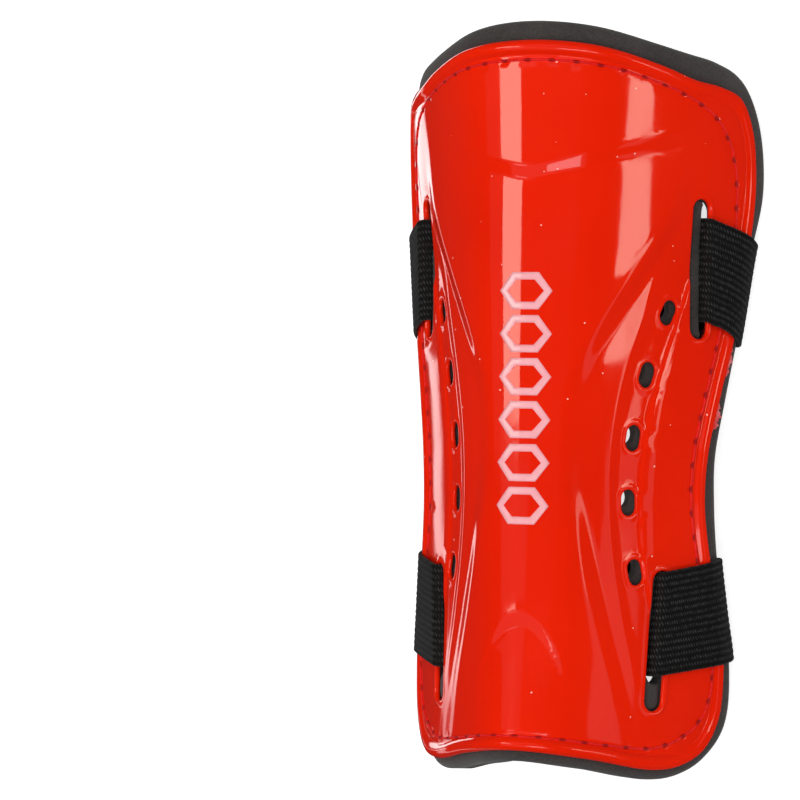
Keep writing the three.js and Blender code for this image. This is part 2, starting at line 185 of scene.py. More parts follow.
# Stitching: the line of holes, from the knee end round one side to the ankle end
STITCH_LINE = make_table(
    "across along",
    (0, 93.8), (15.3, 93.2), (32.6, 90.5), (52.7, 84.4), (61, 79.4), (66.3, 71.8), (68.9, 62), (68.2, 44),
    (63.7, 22), (58.5, 3), (54.6, -14), (54, -28), (56.8, -44), (61.6, -60), (64.2, -74), (64, -83),
    (61.6, -89.4), (57, -93.6), (50.5, -96.7), (42.9, -98.2), (27, -96.9), (13.5, -95.2), (0, -94.4),
)
STITCH_PITCH = 6.9
HOLE_RADIUS = 0.75
HOLE_DEPTH = 0.55
# Rings of points round a hole, as shares of its radius. The dent rises from the first to the last.
HOLE_RINGS = (0.35, 0.8, 1.25)
HOLE_SIDES = 8
THREAD_RADIUS = 0.3
THREAD_STEPS = 14
THREAD_SIDES = 8
KNOT_SWELL = 0.9
KNOT_POWER = 8
# How far the thread lies out, as a share of its radius, and dips into the face's holes and the foam's back
THREAD_LIFT = 0.3
THREAD_DIP = 0.8 * HOLE_DEPTH
BACK_DIP = 0.6

# Thin slivers of moulding flash at the edge: where each starts and ends along the guard, and its width
FLASH = make_table("start end width", (17.5, 5.5, 1.7), (0.5, -9.5, 2.3))
FLASH_OUT = -1.2
FLASH_THICKNESS = 0.35
FLASH_ROOT = 0.6
FLASH_LEAST = 0.1
FLASH_TAPER = 0.6
FLASH_POINTS = 40
# Waves of a sliver's ragged edge: share of its width, and how many radians from end to end
FLASH_WAVES = ((0.22, 19), (0.16, 47))

# Printed column on the panel: plain hexagon outlines
PRINT_COUNT = 6
PRINT_FROM = 29.6
PRINT_STEP = -12.0
PRINT_SHIFT = -0.2
PRINT_HALF = (7.8, 5.2)
PRINT_STROKE = 2.1
PRINT_SLANT = 1.15
PRINT_RISE = 0.05
# Section of the stroke: share of its width, and above or below the face
PRINT_SECTION = ((0, -1), (0, 1), (0.33, 1), (0.67, 1), (1, 1), (1, -1))

# Mesh density
ROW_STEP = 1.1
CELLS = dict(panel=16, shoulder=8, rib=7, drop=6, groove=5, edge=3, wing=14)
SLOT_POINTS = 96
VENT_POINTS = 48
# Gaps in the shell's mesh: to the bead, to the openings, and between feature points and grid
SHELL_GAPS = dict(edge=0.5, feature=0.4, grid=0.5, apart=0.6)
# Lines of points along the brow, and along the crease in shares of its width, and their spacing
BROW_LINES = (3.6, 2.4, 1.2, 0.4, 0, -0.6, -1.2, -2, -2.8, -3.5, -4.2, -4.9)
BROW_SPACING = 1.0
CREASE_LINES = np.linspace(-0.48, 0.48, 8)
CREASE_SPACING = 1.2
FOAM_STEP = 2.4
FOAM_GRID = (90, 112)
FOAM_GAPS = dict(margin=1.5, edge=0.9, apart=0.7, grid=1.6, ring=1.1, opening=0.8)
FOAM_RINGS = (0.2, -0.4, -1.0)
FOAM_ROUND = 13
FOAM_HOLE_POINTS = 40
GAUSS_POINTS = 16


# Flat pattern and form

def smoothstep(low, high, value):
    share = np.clip((value - low) / (high - low), 0, 1)
    return share * share * (3 - 2 * share)


def soft_min(value, limit, width):
    """The lesser of two values, with the corner between them rounded."""
    gap = np.clip((value - limit) / width, -1, 1)
    return np.minimum(value, limit) - width * (1 - np.abs(gap)) ** 2 / 4


def turn_at(reach, along):
    """Angle that the skin has turned through from the ridge to a place on the pattern."""
    radius = RIDGE_RADIUS + RIDGE_FLARE * along
    wing = WING_RADIUS + WING_FLARE * along
    return reach / wing + soft_min(reach, radius * RIDGE_ANGLE, RIDGE_BLEND) * (1 / radius - 1 / wing)


GAUSS_AT, GAUSS_WEIGHT = np.polynomial.legendre.leggauss(GAUSS_POINTS)


def bend(across, along, out):
    """Places on the curved guard, in metres, of points on the flat pattern."""
    across, along, out = np.broadcast_arrays(*(np.asarray(value, float) for value in (across, along, out)))
    reach = np.abs(across)
    steps = reach[..., None] * (GAUSS_AT + 1) / 2
    turns = turn_at(steps, along[..., None])
    aside = reach / 2 * (np.cos(turns) @ GAUSS_WEIGHT)
    drop = reach / 2 * (np.sin(turns) @ GAUSS_WEIGHT)
    turn = turn_at(reach, along)
    ridge = RIDGE_HEIGHT + RIDGE_SLOPE * along + RIDGE_BOW * along ** 2
    x = np.sign(across) * (aside + out * np.sin(turn))
    return np.stack([x, along + MID_LENGTH, ridge - drop + out * np.cos(turn)], -1) * MM


def table_value(table, column, along):
    """Smooth curve through one column of a table."""
    hole_shades, values = table["along"], table[column]
    slopes = np.gradient(values, hole_shades)
    i = np.clip(np.searchsorted(hole_shades, along) - 1, 0, len(hole_shades) - 2)
    step = hole_shades[i + 1] - hole_shades[i]
    t = (along - hole_shades[i]) / step
    rise = values[i + 1] - values[i]
    start, end = slopes[i] * step, slopes[i + 1] * step
    return values[i] + t * (start + t * (3 * rise - 2 * start - end + t * (start + end - 2 * rise)))


def curve_samples(points, closed, count=24):
    """Points on a centripetal Catmull-Rom curve; the first axis runs along the curve."""
    points = np.asarray(points, float)
    last = len(points)
    if closed:
        padded = np.concatenate([points[-1:], points, points[:2]])
    else:
        padded = np.concatenate([2 * points[:1] - points[1:2], points, 2 * points[-1:] - points[-2:-1]])
        last -= 1
    p0, p1, p2, p3 = (padded[k:k + last] for k in range(4))
    pairs = ((p0, p1), (p1, p2), (p2, p3))
    d0, d1, d2 = (np.sqrt(np.linalg.norm(b - a, axis=-1, keepdims=True)) + 1e-9 for a, b in pairs)
    start = ((p1 - p0) / d0 - (p2 - p0) / (d0 + d1) + (p2 - p1) / d1) * d1
    end = ((p2 - p1) / d1 - (p3 - p1) / (d1 + d2) + (p3 - p2) / d2) * d1
    t = (np.arange(count) / count).reshape((1, count) + (1,) * (points.ndim - 1))
    p1, p2, start, end = (value[:, None] for value in (p1, p2, start, end))
    curve = p1 + t * (start + t * (3 * (p2 - p1) - 2 * start - end + t * (start + end - 2 * (p2 - p1))))
    curve = curve.reshape((last * count,) + points.shape[1:])
    return curve if closed else np.concatenate([curve, points[-1:]])


def resampled(curve, count, closed):
    """Evenly spaced points on a sampled curve."""
    line = np.concatenate([curve, curve[:1]]) if closed else curve
    length = np.concatenate([[0], np.cumsum(np.linalg.norm(np.diff(line[:, :2], axis=0), axis=1))])
    places = np.linspace(0, length[-1], count + 1)[:count] if closed else np.linspace(0, length[-1], count)
    return np.stack([np.interp(places, length, line[:, k]) for k in range(line.shape[1])], -1)


def mirrored(table):
    """Closed loop from a table of one half."""
    half = np.array(table.tolist())
    other = half[-2:0:-1].copy()
    other[:, 0] *= -1
    return np.concatenate([half, other])


EDGE_LOOP = resampled(curve_samples(mirrored(EDGE), True), EDGE_POINTS, True)


def outward(loop):
    """Unit vectors that point out of a clockwise loop."""
    ahead = np.roll(loop[:, :2], -1, 0) - np.roll(loop[:, :2], 1, 0)
    normal = np.stack([-ahead[:, 1], ahead[:, 0]], -1)
    return normal / np.linalg.norm(normal, axis=1, keepdims=True)


EDGE_OUT = outward(EDGE_LOOP)


def edge_inset(inset):
    return EDGE_LOOP[:, :2] - EDGE_OUT * np.reshape(inset, (-1, 1))


FOAM_LOOP = edge_inset(-EDGE_LOOP[:, 2])
FOAM_OUT = outward(FOAM_LOOP)


def rim_at(along):
    """How far out the foam's rim lies on the guard's side."""
    rim_across, rim_along = FOAM_LOOP.T
    side = FOAM_LOOP[(rim_across > RIM_SIDE["across"]) & (np.abs(rim_along) < RIM_SIDE["along"])]
    side = side[np.argsort(side[:, 1])]
    return np.interp(along, side[:, 1], side[:, 0])


# Relief of the shell

def brow_rise(across, along):
    """The panel swells a little towards the arch, steps down over it and then recovers slowly."""
    share = np.abs(across) / BROW["spread"]
    offset = along - (BROW["apex"] - BROW["fall"] * share ** 2)
    swell = BROW["swell"] * (1 - np.clip(offset / BROW["above"], 0, 1)) ** 2
    step = np.clip(-offset / BROW["below"], 0, 1) ** BROW["power"]
    past = -offset - BROW["below"]
    recovered = smoothstep(0, BROW["recovery"], past)
    drop = BROW["drop"] * step + BROW["toe"] * smoothstep(0, BROW["toe_length"], past)
    fade = np.clip((1 - share) / BROW["fade"], 0, 1)
    return fade * (swell * (1 - step) - drop * (1 - recovered))


def crease_drop(across, along):
    reach = np.hypot(across, CREASE["tip"])
    offset = along - (CREASE["apex"] + CREASE["rise"] * reach)
    step = smoothstep(CREASE["width"] / 2, -CREASE["width"] / 2, offset)
    recovered = smoothstep(0, CREASE["length"], -offset)
    left, right = CREASE_FADE
    fade = smoothstep(*left, across) * (1 - smoothstep(*right, across))
    return CREASE["depth"] * step * (1 - recovered) * fade


def relief_rows(along):
    return {name: table_value(RELIEF, name, along) for name in RELIEF.dtype.names[1:]}


def panel_depth(across, along):
    reach = np.abs(across)
    row = relief_rows(along)
    shoulder = smoothstep(row["panel"] - PANEL_SHOULDER, row["panel"] + PANEL_FOOT, reach)
    groove_end = row["vents"] + GROOVE_HALF + GROOVE_EDGE
    depth = row["panel_step"] * shoulder
    depth = depth + row["rib_step"] * smoothstep(row["rib"], row["vents"] - GROOVE_HALF, reach)
    depth = depth - row["wing_step"] * smoothstep(groove_end - GROOVE_EDGE, groove_end, reach)
    fade_end = groove_end + WING_FADE * (OUTER_COLUMN - groove_end)
    return depth * (1 - smoothstep(groove_end, fade_end, reach))


def skin_height(flat):
    """Height of the shell's face over the plain form."""
    across, along = flat.T
    return brow_rise(across, along) - panel_depth(across, along) - crease_drop(across, along)


# Openings, as capsules on the flat pattern

class Capsule:
    """A round-ended opening: the two ends of its middle line, and its radius."""

    def __init__(self, first, second, radius, points):
        self.first = np.array(first, float)
        self.second = np.array(second, float)
        self.radius = radius
        line = self.second - self.first
        length = np.linalg.norm(line)
        heading = math.atan2(line[1], line[0]) if length > 0 else 0.0
        straight = int(round(points * length / (2 * length + 2 * math.pi * radius)))
        turns = np.linspace(-math.pi / 2, math.pi / 2, points // 2 - straight + 1)
        shares = np.linspace(0, 1, straight + 1)[1:-1] if straight > 1 else np.zeros(0)
        centres, angles = [], []
        for start, end, face in ((self.first, self.second, 0.0), (self.second, self.first, math.pi)):
            centres += [end] * len(turns)
            angles += list(heading + face + turns)
            centres += [end + (start - end) * share for share in shares]
            angles += [heading + face + math.pi / 2] * len(shares)
        self.centres = np.array(centres)
        self.ways = np.stack([np.cos(angles), np.sin(angles)], -1)

    def loop(self, away):
        return self.centres + self.ways * (self.radius + away)

    def distance(self, points):
        """How far points lie outside the opening."""
        line = self.second - self.first
        share = (points - self.first) @ line / max(line @ line, 1e-9)
        nearest = self.first + np.clip(share, 0, 1)[:, None] * line
        return np.linalg.norm(points - nearest, axis=1) - self.radius


def capsule(middle, length, width, lean, points):
    half = (length - width) / 2
    way = np.array([math.sin(lean), math.cos(lean)])
    middle = np.array(middle)
    return Capsule(middle - half * way, middle + half * way, width / 2, points)


def slot_opening(strap, side, shift=0.0, width=SLOT_WIDTH, cut=0.0):
    """A strap's slot. Shift moves it out and cut takes away from its ankle end."""
    top = (np.array(strap["slot_top"]) + (shift, 0)) * (side, 1)
    end = (np.array(strap["slot_end"]) + (shift, cut)) * (side, 1)
    lean = math.atan2(top[0] - end[0], top[1] - end[1])
    return capsule((top + end) / 2, np.linalg.norm(top - end), width, lean, SLOT_POINTS)


def slot_openings():
    return [slot_opening(strap, side) for strap in STRAPS for side in (-1, 1)]


def vent_openings():
    found = []
    for vent in VENTS:
        lean = math.atan((vent["along"] - GROOVE_WAIST) / GROOVE_LEAN)
        for side in (-1, 1):
            middle = (side * vent["across"], vent["along"])
            found.append(capsule(middle, VENT_LENGTH, VENT_WIDTH, side * lean, VENT_POINTS))
    return found


def foam_openings():
    found = [slot_opening(strap, side, **strap["foam_slot"]) for strap in STRAPS for side in (-1, 1)]
    for vent in VENTS:
        for side in (-1, 1):
            middle = (side * (vent["across"] + vent["hole_across"]), vent["along"] + vent["hole_along"])
            found.append(Capsule(middle, middle, FOAM_HOLE_RADIUS, FOAM_HOLE_POINTS))
    return found


def bead_share(flat):
    """Share of the bead's rise: lower on the long sides, and pressed flat under the straps."""
    side = smoothstep(BEAD_SIDE["start"], BEAD_SIDE["full"], np.abs(flat[:, 0]))
    left = 1 - (1 - BEAD_SIDE["share"]) * side
    edge = STRAP_WIDTH / 2
    for strap in STRAPS:
        away = np.abs(flat[:, 1] - strap["along"] - strap["drift"])
        free = smoothstep(edge - BEAD_PRESSED["inside"], edge + BEAD_PRESSED["outside"], away)
        left = np.minimum(left, BEAD_PRESSED["share"] + (1 - BEAD_PRESSED["share"]) * free)
    return left


# Meshes

def inside(points, loop):
    """Which points lie inside a closed loop."""
    ends = np.roll(loop, -1, 0)
    found = []
    for block in np.array_split(points, max(1, len(points) // 4000)):
        x, y = block[:, :1], block[:, 1:2]
        crosses = (loop[:, 1] > y) != (ends[:, 1] > y)
        rise = np.where(ends[:, 1] == loop[:, 1], 1, ends[:, 1] - loop[:, 1])
        at = loop[:, 0] + (y - loop[:, 1]) * (ends[:, 0] - loop[:, 0]) / rise
        found.append(np.count_nonzero(crosses & (x < at), axis=1) % 2 == 1)
    return np.concatenate(found)


def fill(outline, openings, away, points):
    """Triangles between an outline and openings, through points on the pattern.
    Gives the places, the triangles, and the numbers of the outline's and openings' points."""
    loops = [outline] + [opening.loop(away) for opening in openings]
    starts = np.cumsum([0] + [len(loop) for loop in loops])
    edges = []
    for loop, start in zip(loops, starts):
        edges += [(int(start + i), int(start + (i + 1) % len(loop))) for i in range(len(loop))]
    places = np.concatenate(loops + [points])
    made = delaunay_2d_cdt([Vector(place) for place in places], edges, [], 0, 1e-7, True)
    flat = np.array([tuple(vertex) for vertex in made[0]])
    number = np.zeros(len(places), int)
    for new, olds in enumerate(made[3]):
        number[list(olds)] = new
    triangles = np.array(made[2])
    middles = flat[triangles].mean(axis=1)
    keep = inside(middles, outline)
    for opening in openings:
        keep &= opening.distance(middles) > away
    return flat, triangles[keep], [number[a:b] for a, b in zip(starts[:-1], starts[1:])]


class Skin:
    """Points on the flat pattern and faces between them, bent into one mesh at the end."""

    def __init__(self):
        self.blocks = []
        self.faces = []
        self.count = 0

    def add(self, flat, out):
        block = np.column_stack([flat[:, 0], flat[:, 1], np.broadcast_to(out, len(flat))])
        numbers = np.arange(self.count, self.count + len(block))
        self.blocks.append(block)
        self.count += len(block)
        return numbers

    def cover(self, numbers, triangles):
        self.faces += numbers[triangles].tolist()

    def join(self, first, second):
        """Faces between two closed loops."""
        self.faces += np.stack([first, np.roll(first, -1), np.roll(second, -1), second], -1).tolist()

    def chain(self, start, rows, end):
        """Faces from one closed loop over new rows to another loop."""
        for flat, out in rows:
            numbers = self.add(flat, out)
            self.join(start, numbers)
            start = numbers
        self.join(start, end)

    def tube(self, rings):
        """Faces from each closed loop to the next, and from the last to the first."""
        for first, second in zip(rings, rings[1:] + rings[:1]):
            self.join(first, second)

    def strip(self, first, second):
        """Faces between two open lines."""
        self.faces += np.stack([first[:-1], first[1:], second[1:], second[:-1]], -1).tolist()

    def build(self, name, material):
        pattern = np.concatenate(self.blocks)
        points = bend(pattern[:, 0], pattern[:, 1], pattern[:, 2])
        points[:, 2] = np.maximum(points[:, 2], 0)
        return mesh_piece(name, points, self.faces, material)


def mesh_piece(name, points, faces, material):
    mesh = bpy.data.meshes.new(name)
    mesh.from_pydata(points.tolist(), [], faces)
    work = bmesh.new()
    work.from_mesh(mesh)
    bmesh.ops.recalc_face_normals(work, faces=work.faces)
    work.to_mesh(mesh)
    work.free()
    mesh.polygons.foreach_set("use_smooth", np.ones(len(mesh.polygons), bool))
    mesh.materials.append(material)
    piece = bpy.data.objects.new(name, mesh)
    bpy.context.scene.collection.objects.link(piece)
    return piece


# Shell

def stitch_places():
    """Places of the stitch holes, evenly spaced round the line."""
    curve = curve_samples(mirrored(STITCH_LINE), True)
    length = np.linalg.norm(np.roll(curve, -1, 0) - curve, axis=1).sum()
    return resampled(curve, int(round(length / STITCH_PITCH)), True)


STITCHES = stitch_places()


def hole_dimple(flat):
    """Depth of the dents that the needle left."""
    depth = np.zeros(len(flat))
    for place in STITCHES:
        near = np.linalg.norm(flat - place, axis=1) / HOLE_RADIUS
        depth = np.maximum(depth, HOLE_DEPTH * (1 - smoothstep(HOLE_RINGS[0], HOLE_RINGS[-1], near)))
    return depth


def section_columns(along):
    """Columns of the shell's mesh at one section, closer together where the relief is."""
    row = relief_rows(along)
    groove = row["vents"] + GROOVE_HALF
    stops = [0, row["panel"] - PANEL_SHOULDER, row["panel"], row["rib"], row["vents"] - GROOVE_HALF, groove,
             groove + GROOVE_EDGE, OUTER_COLUMN]
    parts = [np.linspace(a, b, n, endpoint=False) for a, b, n in zip(stops[:-1], stops[1:], CELLS.values())]
    return np.concatenate(parts + [[OUTER_COLUMN]])


def section_points():
    points = []
    for along in np.arange(RELIEF["along"][0], RELIEF["along"][-1], ROW_STEP):
        columns = section_columns(along)
        both = np.concatenate([-columns[:0:-1], columns])
        points.append(np.column_stack([both, np.full(len(both), along)]))
    return np.concatenate(points)


def feature_points():
    """Points that follow the brow, the crease and the stitch holes."""
    points = []
    across = np.arange(-BROW["spread"], BROW["spread"] + BROW_SPACING / 2, BROW_SPACING)
    for offset in BROW_LINES:
        along = BROW["apex"] - BROW["fall"] * (across / BROW["spread"]) ** 2 + offset
        points.append(np.column_stack([across, along]))
    across = np.arange(CREASE_FADE[0][0], CREASE_FADE[1][1], CREASE_SPACING)
    for offset in CREASE_LINES * CREASE["width"]:
        along = CREASE["apex"] + CREASE["rise"] * np.hypot(across, CREASE["tip"]) + offset
        points.append(np.column_stack([across, along]))
    angles = np.arange(HOLE_SIDES) * 2 * math.pi / HOLE_SIDES
    for share in HOLE_RINGS:
        ring = share * HOLE_RADIUS * np.column_stack([np.cos(angles), np.sin(angles)])
        points += [place + ring for place in STITCHES]
    return np.concatenate(points + [STITCHES])


def clear_of(points, others, gap):
    """Points that keep a gap to the others."""
    keep = np.ones(len(points), bool)
    for block in np.array_split(others, max(1, len(others) // 200)):
        low, high = block.min(0) - gap, block.max(0) + gap
        near = np.flatnonzero(((points > low) & (points < high)).all(axis=1))
        apart = np.linalg.norm(points[near, None] - block[None], axis=2).min(axis=1, initial=np.inf)
        keep[near] &= apart > gap
    return points[keep]


def within(points, outline, openings, gap):
    points = points[inside(points, outline)]
    for opening in openings:
        points = points[opening.distance(points) > gap]
    return points


def slot_lip(opening):
    """Share of the lip's rise round a slot: the lip stands up on the outer side and at the ends."""
    side = np.sign(opening.first[0])
    facing = (opening.ways[:, 0] * side + 1) / 2
    share = smoothstep(SLOT_LIP["start"], SLOT_LIP["full"], facing)
    return SLOT_LIP["least"] + (SLOT_LIP["most"] - SLOT_LIP["least"]) * share


def bead_rows():
    for inset, rise in BEAD[1:-1]:
        line = edge_inset(inset)
        lift = rise * bead_share(line) if rise > 0 else rise
        yield line, skin_height(line) + lift


def lip_rows(opening, share):
    for away, rise, drop in LIP[1:-1]:
        line = opening.loop(away)
        yield line, skin_height(line) + rise * share - drop


def shell_piece(material):
    skin = Skin()
    slots, vents = slot_openings(), vent_openings()
    openings = slots + vents
    reach = LIP["away"][0]
    limit = edge_inset(BEAD["inset"][0] + SHELL_GAPS["edge"])
    features = within(feature_points(), limit, openings, reach + SHELL_GAPS["feature"])
    features = features[np.unique(np.round(features, 2), axis=0, return_index=True)[1]]
    grid = within(section_points(), limit, openings, reach + SHELL_GAPS["grid"])
    points = np.concatenate([features, clear_of(grid, features, SHELL_GAPS["apart"])])
    outline = edge_inset(BEAD["inset"][0])
    flat, triangles, loops = fill(outline, openings, reach, points)
    height = skin_height(flat)
    top = skin.add(flat, height - hole_dimple(flat))
    under = skin.add(flat, height - SHELL_WALL)
    skin.cover(top, triangles)
    skin.cover(under, triangles)
    skin.chain(top[loops[0]], bead_rows(), under[loops[0]])
    lips = [slot_lip(opening) for opening in slots] + [VENT_LIP] * len(vents)
    for opening, lip, numbers in zip(openings, lips, loops[1:]):
        skin.chain(top[numbers], lip_rows(opening, lip), under[numbers])
    return skin.build("moulded_shell", material)


# Foam

def foam_front(flat):
    """The foam is pressed to the shell's hollow side and swells a little into the slots."""
    front = np.minimum(skin_height(flat), 0) + FOAM_FRONT
    for slot in slot_openings():
        share = smoothstep(FOAM_SWELL["start"], FOAM_SWELL["full"], slot.distance(flat))
        front = front + FOAM_SWELL["rise"] * share
    return front


def foam_edge_rows():
    for turn in np.linspace(0, math.pi, FOAM_ROUND):
        line = FOAM_LOOP - FOAM_OUT * FOAM_EDGE_RADIUS * (1 - math.sin(turn))
        face = foam_front(line) if turn < math.pi / 2 else np.full(len(line), FOAM_BACK)
        yield line, face - FOAM_EDGE_RADIUS * (np.sign(math.cos(turn)) - math.cos(turn))


def foam_wall_rows(opening):
    for away, share in FOAM_WALL:
        line = opening.loop(away)
        yield line, foam_front(line) * (1 - share) + FOAM_BACK * share


def foam_piece(material):
    skin = Skin()
    openings = foam_openings()
    margin = FOAM_EDGE_RADIUS + FOAM_GAPS["margin"]
    outline = FOAM_LOOP - FOAM_OUT * margin
    across, along = np.meshgrid(*(np.arange(-half, half, FOAM_STEP) for half in FOAM_GRID))
    grid = np.column_stack([across.ravel(), along.ravel()])
    limit = FOAM_LOOP - FOAM_OUT * (margin + FOAM_GAPS["edge"])
    rings = np.concatenate([slot.loop(away) for slot in slot_openings() for away in FOAM_RINGS])
    grid = within(clear_of(grid, rings, FOAM_GAPS["apart"]), limit, openings, FOAM_GAPS["grid"])
    points = np.concatenate([grid, within(rings, limit, openings, FOAM_GAPS["ring"])])
    flat, triangles, loops = fill(outline, openings, FOAM_GAPS["opening"], points)
    front = skin.add(flat, foam_front(flat))
    back = skin.add(flat, FOAM_BACK)
    skin.cover(front, triangles)
    skin.cover(back, triangles)
    skin.chain(front[loops[0]], foam_edge_rows(), back[loops[0]])
    for opening, numbers in zip(openings, loops[1:]):
        skin.chain(front[numbers], foam_wall_rows(opening), back[numbers])
    return skin.build("foam_backing", material)


# Straps

def slot_at(strap, along):
    ends = (strap["slot_end"], strap["slot_top"])
    return np.interp(along, [end[1] for end in ends], [end[0] for end in ends])


def layer_line(strap, layer, width):
    """Places of one layer of a strap on the right-hand side, in metres."""
    start = strap["along"] + width
    slot = slot_at(strap, start) + strap["seat"]
    reach = rim_at(start + strap["drift"]) - slot
    line = []
    for rim, by, out in layer:
        share = np.clip(by / reach + rim, 0, 1)
        along = start + strap["drift"] * share
        line.append(bend((rim_at(along) if rim else slot) + by, along, out))
    return line


def strap_line(strap, width):
    """Middle line of a strap from tab to tab, at several places across its width."""
    outer = layer_line(strap, OUTER_LAYER, width)
    fold = outer[-1]
    flat = STRAP_THICKNESS / 2 * MM
    lift = np.maximum(fold[:, 2] - flat, 0)
    tab = flat + (STRAP_THICKNESS + TAB_GAP) * MM

    def inward(distance, height):
        return np.column_stack([fold[:, 0] - distance * MM, fold[:, 1], np.broadcast_to(height, len(fold))])

    line = [inward(TAB_TO, tab), inward(TAB_FROM, tab)]
    line += layer_line(strap, RETURN_LAYER, width) + outer
    line += [inward(SPAN_LEAD["inward"], flat + lift * (1 - SPAN_LEAD["sink"])), inward(SPAN_FLAT, flat)]
    for place in line:
        place[:, 2] = np.maximum(place[:, 2], flat)
    return line + [place * (-1, 1, 1) for place in reversed(line)]


def strap_band(strap, width):
    """Evenly spaced rows of a strap's middle surface, and lengths along its middle line, in metres."""
    curve = curve_samples(np.array(strap_line(strap, width)), False)
    middle = curve[:, len(width) // 2]
    length = np.concatenate([[0], np.cumsum(np.linalg.norm(np.diff(middle, axis=0), axis=1))])
    rows = int(length[-1] / (STRAP_STEP * MM))
    places = np.interp(np.linspace(0, length[-1], rows), length, np.arange(len(length)))
    below = np.minimum(places.astype(int), len(curve) - 2)
    share = (places - below)[:, None, None]
    band = curve[below] * (1 - share) + curve[below + 1] * share
    band[..., 2] = np.maximum(band[..., 2], STRAP_THICKNESS / 2 * MM)
    return band, length


def strap_faces(rows, cells):
    """Faces round a strap and over its two ends."""
    numbers = np.arange(rows * 2 * (cells + 1)).reshape(rows, -1)
    first, second = numbers[:-1], numbers[1:]
    quads = np.stack([first, np.roll(first, -1, 1), np.roll(second, -1, 1), second], -1)
    caps = []
    for end in (numbers[0], numbers[-1]):
        top, bottom = end[:cells + 1], end[:cells:-1]
        caps.append(np.stack([top[:-1], top[1:], bottom[1:], bottom[:-1]], -1))
    return np.concatenate([quads.reshape(-1, 4)] + caps).tolist()


def strap_piece(strap, material):
    cells = STRAP_RIBS * RIB_SAMPLES
    width = STRAP_WIDTH * (np.arange(cells + 1) / cells - 0.5)
    band, length = strap_band(strap, width)
    normal = np.cross(np.gradient(band, axis=1), np.gradient(band, axis=0))
    normal /= np.linalg.norm(normal, axis=2, keepdims=True)
    groove = 1 - np.abs(np.sin(math.pi * np.arange(cells + 1) / RIB_SAMPLES)) ** RIB_ROUND
    half = (STRAP_THICKNESS / 2 - RIB_DEPTH * groove) * MM
    half[[0, -1]] *= SELVEDGE
    sides = [band + normal * half[:, None], (band - normal * half[:, None])[:, ::-1]]
    points = np.concatenate(sides, axis=1).reshape(-1, 3)
    piece = mesh_piece("elastic_" + strap["node"], points, strap_faces(len(band), cells), material)
    across = np.concatenate([width, width[::-1]])
    along = np.linspace(0, length[-1], len(band))
    knit = np.stack(np.broadcast_arrays(along[:, None] / MM, across[None]), -1).reshape(-1, 2)
    layer = piece.data.attributes.new("knit", "FLOAT2", "POINT")
    layer.data.foreach_set("vector", knit.astype(np.float32).ravel())
    return piece


# Stitching

def thread_piece(material):
    """One thread on the shell's face and one on the foam's back, dipping into every hole."""
    skin = Skin()
    curve = curve_samples(STITCHES, True, THREAD_STEPS)
    phase = np.tile(np.arange(THREAD_STEPS) / THREAD_STEPS, len(STITCHES))
    dip = np.cos(math.pi * phase) ** KNOT_POWER
    radius = THREAD_RADIUS * (1 + KNOT_SWELL * dip)
    face = skin_height(curve)
    lines = (
        face + THREAD_RADIUS * THREAD_LIFT - dip * THREAD_DIP,
        FOAM_BACK - THREAD_RADIUS * THREAD_LIFT + dip * BACK_DIP,
    )
    side = outward(curve)
    for out in lines:
        rings = []
        for turn in np.arange(THREAD_SIDES) * 2 * math.pi / THREAD_SIDES:
            flat = curve + side * (radius * math.cos(turn))[:, None]
            rings.append(skin.add(flat, out + radius * math.sin(turn)))
        skin.tube(rings)
    piece = skin.build("edge_stitching", material)
    # How far the thread dips into each hole; the paint darkens it there as painted shade.
    layer = piece.data.attributes.new("hole_shade", "FLOAT", "POINT")
    hole_shades = np.tile(dip, len(piece.data.vertices) // len(dip))
    layer.data.foreach_set("value", hole_shades.astype(np.float32))
    return piece


# Moulding flash

def flash_piece(material):
    """Ragged slivers that lie on the foam beside the shell's edge."""
    skin = Skin()
    for start, end, width in FLASH:
        near = (EDGE_LOOP[:, 0] > 0) & (EDGE_LOOP[:, 1] < start) & (EDGE_LOOP[:, 1] > end)
        line = resampled(EDGE_LOOP[near, :2], FLASH_POINTS, False)
        ahead = np.gradient(line, axis=0)
        way = np.stack([-ahead[:, 1], ahead[:, 0]], -1) / np.linalg.norm(ahead, axis=1, keepdims=True)
        share = np.linspace(0, 1, len(line))
        ragged = 1 + sum(size * np.sin(pace * share) for size, pace in FLASH_WAVES)
        reach = width * np.sin(math.pi * share) ** FLASH_TAPER * ragged + FLASH_LEAST
        inner, outer = line - way * FLASH_ROOT, line + way * reach[:, None]
        low = FLASH_OUT - FLASH_THICKNESS
        section = ((inner, FLASH_OUT), (outer, FLASH_OUT), (outer, low), (inner, low))
        rows = [skin.add(flat, out) for flat, out in section]
        for first, second in zip(rows, rows[1:] + rows[:1]):
            skin.strip(first, second)
        skin.faces += [[int(row[k]) for row in rows] for k in (0, -1)]
    return skin.build("mould_flash", material)


# Print

def hexagon(scale_across, scale_along, count=20):
    corners = np.array([(math.cos(k * math.pi / 3), math.sin(k * math.pi / 3)) for k in range(6)])
    corners[:, 1] /= math.sin(math.pi / 3)
    shares = np.arange(count)[:, None] / count
    sides = [a + (b - a) * shares for a, b in zip(corners, np.roll(corners, -1, 0))]
    return np.concatenate(sides) * (scale_across, scale_along)


def print_piece(material):
    skin = Skin()
    wide, tall = PRINT_HALF
    for k in range(PRINT_COUNT):
        middle = np.array([PRINT_SHIFT, PRINT_FROM + k * PRINT_STEP])
        rings = []
        for share, face in PRINT_SECTION:
            stroke = share * PRINT_STROKE
            line = middle + hexagon(wide - stroke * PRINT_SLANT, tall - stroke)
            rings.append(skin.add(line, skin_height(line) + face * PRINT_RISE))
        skin.tube(rings)
    return skin.build("front_print", material)


# Materials

def linear(red, green, blue):
    """Scene colour of a colour read off a screen, 0 to 255."""
    values = np.array([red, green, blue]) / 255
    values = np.where(values <= 0.04045, values / 12.92, ((values + 0.055) / 1.055) ** 2.4)
    return (*values, 1.0)


